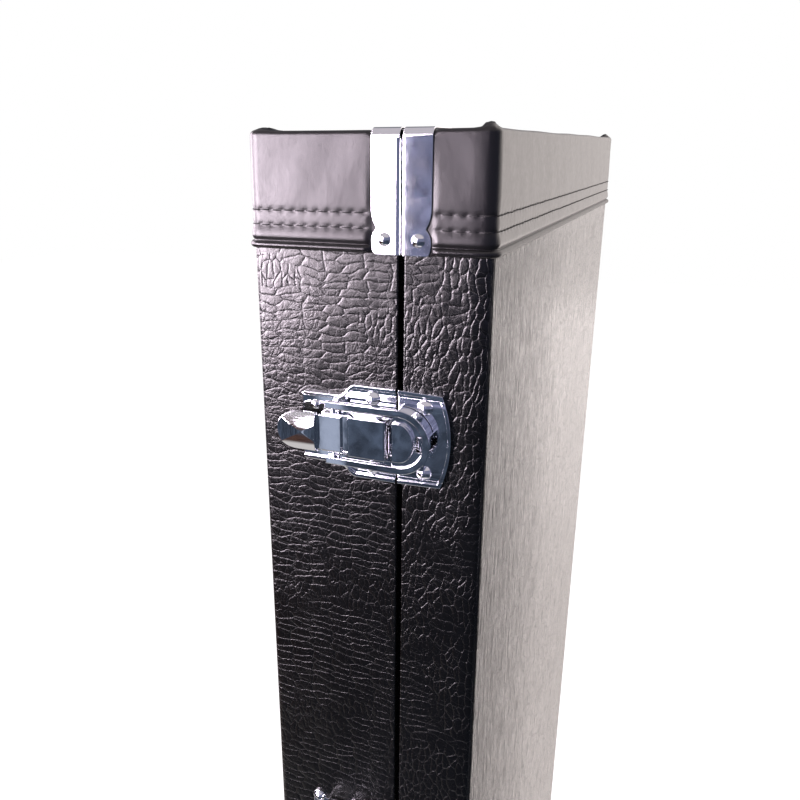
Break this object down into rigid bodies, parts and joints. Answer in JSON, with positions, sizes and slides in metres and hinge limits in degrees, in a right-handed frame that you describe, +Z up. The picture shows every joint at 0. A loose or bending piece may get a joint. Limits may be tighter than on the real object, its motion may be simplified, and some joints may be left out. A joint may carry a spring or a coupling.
{
  "type": "electric guitar case",
  "caption": "Rectangular hard-shell guitar case standing on end: hinged lid, grained black vinyl, stitched leatherette end caps, chrome edge clips and draw latches, plush interior.",
  "frame": {"origin": "centre of the head-end face that the case stands on, taken over the vinyl-covered box without handle, latches and hinges", "axes": "+Z up along the case's length to the tail end; +X out of the lid; -Y out of the latch and handle side; +Y out of the hinge side"},
  "size_m": [0.1238, 0.4422, 1.031],
  "materials": {
    "plywood": "raw plywood, hidden under the coverings",
    "grained_vinyl": "glossy black vinyl with a coarse crackled grain",
    "leatherette": "smooth black padded leatherette, satin, stitched hem",
    "chrome": "bright chrome plate on stamped steel",
    "plush": "short-pile black plush",
    "plush_foam": "foam blocks covered with short-pile black plush",
    "ribbon": "woven ribbon",
    "grip_leatherette": "padded black leatherette with stitched underside",
    "foot_rubber": "moulded black rubber"
  },
  "bodies": {
    "case_body": {"body_back_panel": "plywood", "body_front_board": "plywood", "body_hinge_board": "plywood", "body_tail_board": "plywood", "body_head_board": "plywood", "body_vinyl_cover": "grained_vinyl", "tail_cap_body": "leatherette", "head_cap_body": "leatherette", "body_locating_lip": "plywood", "body_edge_clips": "chrome", "body_rivets": "chrome", "body_plush_lining": "plush", "tail_pad": "plush_foam", "waist_pads": "plush_foam", "shoulder_pads": "plush_foam", "side_block": "plush_foam", "neck_support": "plush_foam", "headstock_pad": "plush_foam", "accessory_box": "plywood", "accessory_hinge_pins": "chrome", "accessory_hinge_eyes": "chrome", "handle_brackets": "chrome", "hinge_leaves_body": "chrome", "hinge_pins": "chrome", "feet_body": "foot_rubber", "latch_pivot_pins": "chrome", "latch_base_tail": "chrome", "latch_base_middle": "chrome", "latch_base_head": "chrome"},
    "case_lid": {"lid_panel": "plywood", "lid_front_board": "plywood", "lid_hinge_board": "plywood", "lid_tail_board": "plywood", "lid_head_board": "plywood", "lid_vinyl_cover": "grained_vinyl", "tail_cap_lid": "leatherette", "head_cap_lid": "leatherette", "lid_edge_clips": "chrome", "lid_rivets": "chrome", "lid_plush_lining": "plush", "lid_pad": "plush_foam", "hinge_leaves_lid": "chrome", "feet_lid": "foot_rubber", "latch_keeper_tail": "chrome", "latch_keeper_middle": "chrome", "latch_keeper_head": "chrome"},
    "carry_handle": {"handle_bail": "chrome", "handle_grip": "grip_leatherette", "handle_ferrules": "chrome"},
    "box_lid": {"accessory_lid": "plush", "accessory_pull_tab": "ribbon"},
    "lever_tail": {"latch_lever_tail": "chrome", "hasp_pin_tail": "chrome"},
    "hasp_tail": {"latch_hasp_tail": "chrome"},
    "lever_middle": {"latch_lever_middle": "chrome", "hasp_pin_middle": "chrome"},
    "hasp_middle": {"latch_hasp_middle": "chrome"},
    "lever_head": {"latch_lever_head": "chrome", "hasp_pin_head": "chrome"},
    "hasp_head": {"latch_hasp_head": "chrome"}
  },
  "joints": [
    {"name": "lid_hinge", "type": "hinge", "parent": "case_body", "child": "case_lid", "pos_m": [0.017, 0.1958, 0.515], "axis": [0, 0, 1], "range_deg": [0, 100]},
    {"name": "handle_swing", "type": "hinge", "parent": "case_body", "child": "carry_handle", "pos_m": [-0.0209, -0.1983, 0.5575], "axis": [0, 0, 1], "range_deg": [-72, 72]},
    {"name": "box_lid_hinge", "type": "hinge", "parent": "case_body", "child": "box_lid", "pos_m": [-0.0109, 0.1728, 0.375], "axis": [0, 0, 1], "range_deg": [0, 80]},
    {"name": "lever_tail_hinge", "type": "hinge", "parent": "case_body", "child": "lever_tail", "pos_m": [0.0113, -0.1965, 0.8892], "axis": [0, 0, 1], "range_deg": [0, 75]},
    {"name": "hasp_tail_hinge", "type": "hinge", "parent": "lever_tail", "child": "hasp_tail", "pos_m": [-0.0162, -0.196, 0.8892], "axis": [0, 0, 1], "range_deg": [-93.75, 0]},
    {"name": "lever_middle_hinge", "type": "hinge", "parent": "case_body", "child": "lever_middle", "pos_m": [0.0113, -0.1965, 0.392], "axis": [0, 0, 1], "range_deg": [0, 75]},
    {"name": "hasp_middle_hinge", "type": "hinge", "parent": "lever_middle", "child": "hasp_middle", "pos_m": [-0.0162, -0.196, 0.392], "axis": [0, 0, 1], "range_deg": [-93.75, 0]},
    {"name": "lever_head_hinge", "type": "hinge", "parent": "case_body", "child": "lever_head", "pos_m": [0.0113, -0.1965, 0.1408], "axis": [0, 0, 1], "range_deg": [0, 75]},
    {"name": "hasp_head_hinge", "type": "hinge", "parent": "lever_head", "child": "hasp_head", "pos_m": [-0.0162, -0.196, 0.1408], "axis": [0, 0, 1], "range_deg": [-93.75, 0]}
  ],
  "couplings": [
    {"joint": "box_lid_hinge", "follows": "lid_hinge", "ratio": 0.8},
    {"joint": "hasp_tail_hinge", "follows": "lever_tail_hinge", "ratio": -1.25},
    {"joint": "hasp_middle_hinge", "follows": "lever_middle_hinge", "ratio": -1.25},
    {"joint": "hasp_head_hinge", "follows": "lever_head_hinge", "ratio": -1.25}
  ]
}
